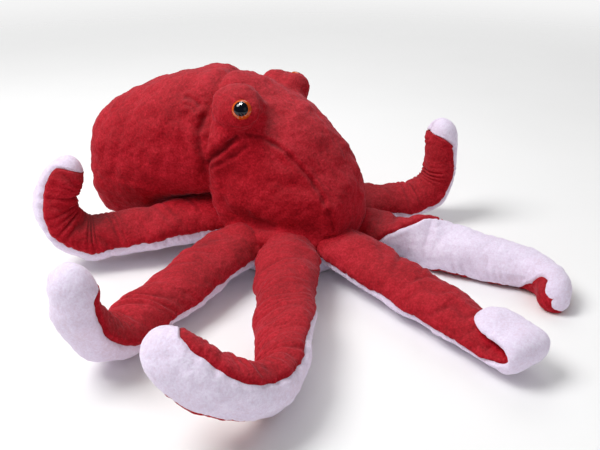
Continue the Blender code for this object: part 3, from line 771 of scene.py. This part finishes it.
def plush(name, dark, middle, light, sheen, bump, shade_tint=(1, 1, 1)):
    """Short pile: blotches where it lies another way, clumps of fibres, a soft sheen, and painted shade
    that darkens the folds and seams.
    """
    look = Nodes(name)
    blotch = look.noise(0.030, 2)
    tuft = look.noise(0.0075, 2)
    clump = look.noise(0.0026, 3, 0.6)
    fibre = look.noise(0.0012, 2, 0.7)
    value = 0.5
    for layer, weight in ((blotch, 0.24), (tuft, 0.07), (clump, 0.26), (fibre, 0.42)):
        value = look.sum(value, look.sum(look.sum(layer, -0.5), weight, "MULTIPLY"))
    colour = look.ramp(value, (0.38, dark), (0.50, middle), (0.62, light))
    # painted shade: the colour goes towards a darker shadow colour where the shade attribute marks folds
    # and seams
    painted_shade = look.add("ShaderNodeAttribute", set_attribute_name="shade").outputs["Fac"]
    shadow = [c * 0.35 * tint for c, tint in zip(dark, shade_tint)]
    colour = look.mix(look.sum(painted_shade, 0.75, "MULTIPLY"), colour, (*shadow, 1))
    height = look.sum(look.sum(clump, 0.9, "MULTIPLY"), look.sum(fibre, 0.5, "MULTIPLY"))
    raised = look.add("ShaderNodeBump", Strength=bump, Distance=0.0008, Height=height)
    look.set(Base_Color=colour, Roughness=0.92, Sheen_Weight=sheen[0], Sheen_Roughness=sheen[1],
             Sheen_Tint=(*sheen[2], 1), Specular_IOR_Level=0.10, Normal=raised.outputs["Normal"])
    return look.material


def plastic(name, colour, roughness, coat=0.0):
    look = Nodes(name)
    wear = look.noise(0.0012, 4)
    tone = look.ramp(wear, (0.30, tuple(c * 0.8 for c in colour)), (0.70, colour))
    rough = look.sum(look.sum(wear, 0.06, "MULTIPLY"), roughness)
    look.set(Base_Color=tone, Roughness=rough, Coat_Weight=coat, Coat_Roughness=0.04)
    return look.material


def make_looks():
    return {
        "red": plush("red_plush", (0.25, 0.0025, 0.008), (0.38, 0.0065, 0.015), (0.52, 0.016, 0.032),
                     (0.22, 0.35, (1.0, 0.34, 0.42)), 0.7),
        "white": plush("white_plush", (0.73, 0.60, 0.74), (0.79, 0.69, 0.86), (0.86, 0.79, 0.94),
                       (0.35, 0.5, (1.0, 0.95, 1.0)), 0.6, (2.0, 1.75, 1.9)),
        "amber": plastic("amber_plastic", (0.62, 0.085, 0.002), 0.12, 0.3),
        "black": plastic("black_plastic", (0.0015, 0.0016, 0.006), 0.05),
        "nylon": plastic("nylon", (0.80, 0.80, 0.78), 0.40),
    }


# Light, floor and camera

CAMERA_AZIMUTH, CAMERA_PITCH = math.radians(-66), math.radians(25)
CAMERA_DISTANCE, CAMERA_SHIFT, CAMERA_HEIGHT = 0.465, 0.006, 0.236
LENS, SENSOR = 45, 36  # mm
MIDDLE = (0, 0, 0.05)
# Lamps, placed as seen by the camera: (name, away, right, height, size, power).
LAMPS = (("key", -0.16, -0.60, 0.95, 0.6, 10.0), ("fill", -0.7, 0.6, 0.45, 0.7, 0.4),
         ("back", 0.7, 0.1, 0.8, 0.6, 1.8))
GLINT_LIFT, GLINT_DISTANCE, GLINT_SIZE, GLINT_POWER = 0.80, 0.5, 0.20, 14.0
WORLD_LIGHT, WORLD_SEEN, WORLD_MIRRORED = 0.42, 0.92, 0.10
FLOOR_REACH = 1.6
FADE = (0.35, 1.30)  # the floor fades out between these distances


def build_floor():
    """A pale floor that fades into the surround well away from the object."""
    data = bpy.data.meshes.new("floor")
    corners = [(FLOOR_REACH * x, FLOOR_REACH * y, 0) for x, y in ((-1, -1), (1, -1), (1, 1), (-1, 1))]
    data.from_pydata(corners, [], [(0, 1, 2, 3)])
    made = bpy.data.objects.new("floor", data)
    bpy.context.scene.collection.objects.link(made)
    look = Nodes("floor")
    tone = look.ramp(look.noise(0.2, 2), (0.3, (0.87, 0.87, 0.87)), (0.7, (0.89, 0.89, 0.89)))
    look.set(Base_Color=tone, Roughness=0.9)
    far = look.add("ShaderNodeVectorMath", set_operation="LENGTH", Vector=look.place).outputs["Value"]
    share = look.add("ShaderNodeMapRange", set_interpolation_type="SMOOTHSTEP", Value=far,
                     From_Min=FADE[0], From_Max=FADE[1]).outputs["Result"]
    clear = look.tree.nodes.new("ShaderNodeBsdfTransparent").outputs["BSDF"]
    faded = look.tree.nodes.new("ShaderNodeMixShader")
    for socket, value in zip(faded.inputs, (share, look.shader.outputs["BSDF"], clear)):
        feed(look.tree, socket, value)
    surface = look.tree.nodes["Material Output"].inputs["Surface"]
    feed(look.tree, surface, faded.outputs["Shader"])
    data.materials.append(look.material)


def aim(made, target):
    made.rotation_euler = (Vector(target) - made.location).to_track_quat("-Z", "Y").to_euler()


def add_light(name, place, target, size, power):
    data = bpy.data.lights.new(name, "AREA")
    data.shape = "DISK"
    data.size, data.energy = size, power
    made = bpy.data.objects.new(name, data)
    made.location = place
    bpy.context.scene.collection.objects.link(made)
    aim(made, target)
    return made


def add_glint(camera):
    """A lamp that only shows as a highlight, high on the pupil of the right eye."""
    flip = Vector((-1, 1, 1))
    axis, eye = EYE_AXIS * flip, HOOD_CENTRE * flip
    seen = (camera.location - eye).normalized()
    facing = (axis + Vector((0, 0, GLINT_LIFT))).normalized()
    mirrored = 2 * facing.dot(seen) * facing - seen
    lamp = add_light("glint", eye + mirrored * GLINT_DISTANCE, eye, GLINT_SIZE, GLINT_POWER)
    lamp.visible_diffuse = False


def studio_world():
    """An even surround: bright behind the object, softer as light, dim in reflections."""
    world = bpy.data.worlds.new("studio")
    world.use_nodes = True
    tree = world.node_tree
    even = tree.nodes["Background"]
    even.inputs["Color"].default_value = (1, 1, 1, 1)
    rays = tree.nodes.new("ShaderNodeLightPath").outputs
    strength = WORLD_LIGHT
    for ray, wanted in (("Is Camera Ray", WORLD_SEEN), ("Is Glossy Ray", WORLD_MIRRORED)):
        scaled = tree.nodes.new("ShaderNodeMath")
        scaled.operation = "MULTIPLY_ADD"
        for socket, value in zip(scaled.inputs, (rays[ray], wanted - WORLD_LIGHT, strength)):
            feed(tree, socket, value)
        strength = scaled.outputs[0]
    feed(tree, even.inputs["Strength"], strength)
    return world


def build_camera(away, right):
    data = bpy.data.cameras.new("camera")
    data.lens, data.sensor_width = LENS, SENSOR
    data.clip_start = 0.01
    camera = bpy.data.objects.new("camera", data)
    camera.location = -away * CAMERA_DISTANCE + right * CAMERA_SHIFT + Vector((0, 0, CAMERA_HEIGHT))
    ahead, down = away * math.cos(CAMERA_PITCH), Vector((0, 0, math.sin(CAMERA_PITCH)))
    aim(camera, camera.location + ahead - down)
    bpy.context.scene.collection.objects.link(camera)
    bpy.context.scene.camera = camera
    return camera


def build_studio():
    right = Vector((math.cos(CAMERA_AZIMUTH), math.sin(CAMERA_AZIMUTH), 0))
    away = Vector((-math.sin(CAMERA_AZIMUTH), math.cos(CAMERA_AZIMUTH), 0))
    camera = build_camera(away, right)
    for name, back, aside, height, size, power in LAMPS:
        add_light(name, away * back + right * aside + Vector((0, 0, height)), MIDDLE, size, power)
    add_glint(camera)
    bpy.context.scene.world = studio_world()
    bpy.context.scene.view_settings.view_transform = "Standard"


looks = make_looks()
build_body(looks)
build_underside(looks)
for key, arm in ARMS.items():
    build_arm(key, arm, looks)
build_eyes(looks)
build_floor()
build_studio()
bpy.context.view_layer.update()
